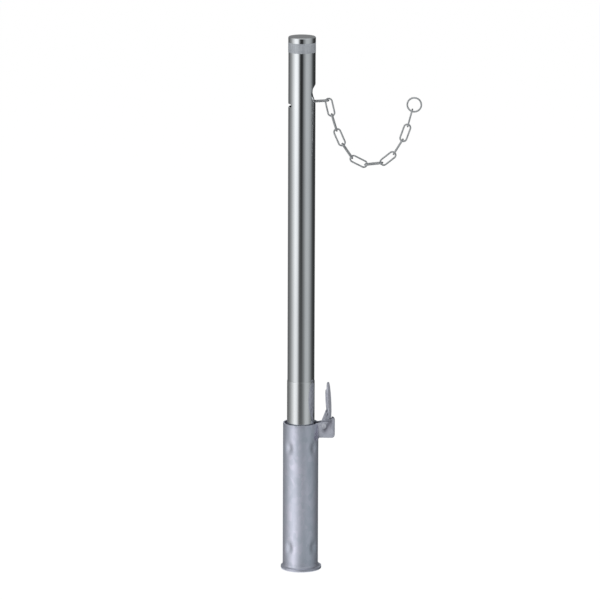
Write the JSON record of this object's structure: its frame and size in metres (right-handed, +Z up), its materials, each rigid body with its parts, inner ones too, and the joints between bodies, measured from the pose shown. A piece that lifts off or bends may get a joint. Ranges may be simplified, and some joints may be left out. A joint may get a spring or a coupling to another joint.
{
  "type": "removable bollard",
  "caption": "Polished steel post with a built-in chain, standing in a ground socket with a hinged lid; the post lifts out, and the chain's ring fits the next post's slot.",
  "frame": {"origin": "on the socket's axis, in the plane that the socket's foot stands on", "axes": "+Z up along the post, +X towards the chain's outlet, the lock pocket and the lid's hinge"},
  "size_m": [0.2493, 0.073, 0.968],
  "materials": {
    "mirror_stainless": "mirror polished",
    "satin_stainless": "satin",
    "chain_stainless": "tumbled round wire",
    "galvanised": "hot-dip galvanised, dull blue grey",
    "rivet_steel": "bright zinc plated",
    "silver_band": "silver reflective film"
  },
  "bodies": {
    "socket": {"socket_tube": "galvanised", "base_plate": "galvanised", "lock_pocket": "galvanised", "pocket_floor": "galvanised", "hinge_pin": "rivet_steel", "hinge_washers": "rivet_steel"},
    "lid": {"lid_plate": "galvanised", "lid_boss": "galvanised", "lid_arm": "galvanised"},
    "post": {"post_tube": "mirror_stainless", "wear_sleeve": "satin_stainless", "top_cap": "mirror_stainless", "reflective_band": "silver_band", "bottom_cap": "satin_stainless", "guide_lug": "satin_stainless", "stored_chain": "chain_stainless", "stop_bar": "chain_stainless", "chain_link_00": "chain_stainless"},
    "link_01": {"chain_link_01": "chain_stainless"},
    "link_02": {"chain_link_02": "chain_stainless"},
    "link_03": {"chain_link_03": "chain_stainless"},
    "link_04": {"chain_link_04": "chain_stainless"},
    "link_05": {"chain_link_05": "chain_stainless"},
    "link_06": {"chain_link_06": "chain_stainless"},
    "link_07": {"chain_link_07": "chain_stainless"},
    "link_08": {"chain_link_08": "chain_stainless"},
    "link_09": {"chain_link_09": "chain_stainless"},
    "link_10": {"chain_link_10": "chain_stainless"},
    "ring": {"end_ring": "chain_stainless"}
  },
  "joints": [
    {"name": "lid_hinge", "type": "hinge", "parent": "socket", "child": "lid", "pos_m": [0.0417, 0, 0.2649], "axis": [0, 1, 0], "range_deg": [-14, 1.5]},
    {"name": "post_lift", "type": "slide", "parent": "socket", "child": "post", "axis": [0, 0, 1], "range_m": [0, 0.28]},
    {"name": "link_01_swing", "type": "hinge", "parent": "post", "child": "link_01", "pos_m": [0.04709, 0, 0.85428], "axis": [0, 1, 0], "range_deg": [-70, 12]},
    {"name": "link_02_swing", "type": "hinge", "parent": "link_01", "child": "link_02", "pos_m": [0.05271, 0, 0.83013], "axis": [0, -1, 0], "range_deg": [-30, 56]},
    {"name": "link_03_swing", "type": "hinge", "parent": "link_02", "child": "link_03", "pos_m": [0.062, 0, 0.79992], "axis": [0, 1, 0], "range_deg": [-53.5, 45]},
    {"name": "link_04_swing", "type": "hinge", "parent": "link_03", "child": "link_04", "pos_m": [0.07193, 0, 0.7772], "axis": [0, -1, 0], "range_deg": [-71, 49]},
    {"name": "link_05_swing", "type": "hinge", "parent": "link_04", "child": "link_05", "pos_m": [0.08988, 0, 0.75119], "axis": [0, 1, 0], "range_deg": [-30.9, 89.1]},
    {"name": "link_06_swing", "type": "hinge", "parent": "link_05", "child": "link_06", "pos_m": [0.11211, 0, 0.7402], "axis": [0, -1, 0], "range_deg": [-93.2, 26.8]},
    {"name": "link_07_swing", "type": "hinge", "parent": "link_06", "child": "link_07", "pos_m": [0.14348, 0, 0.74399], "axis": [0, 1, 0], "range_deg": [-27.9, 92.1]},
    {"name": "link_08_swing", "type": "hinge", "parent": "link_07", "child": "link_08", "pos_m": [0.16276, 0, 0.7596], "axis": [0, -1, 0], "range_deg": [-79.6, 40.4]},
    {"name": "link_09_swing", "type": "hinge", "parent": "link_08", "child": "link_09", "pos_m": [0.17922, 0, 0.78658], "axis": [0, 1, 0], "range_deg": [-48.1, 71.9]},
    {"name": "link_10_swing", "type": "hinge", "parent": "link_09", "child": "link_10", "pos_m": [0.1875, 0, 0.80995], "axis": [0, -1, 0], "range_deg": [-64.6, 55.4]},
    {"name": "ring_swing", "type": "hinge", "parent": "link_10", "child": "ring", "pos_m": [0.19562, 0, 0.84049], "axis": [0, 1, 0], "range_deg": [-66.5, 53.5]}
  ]
}
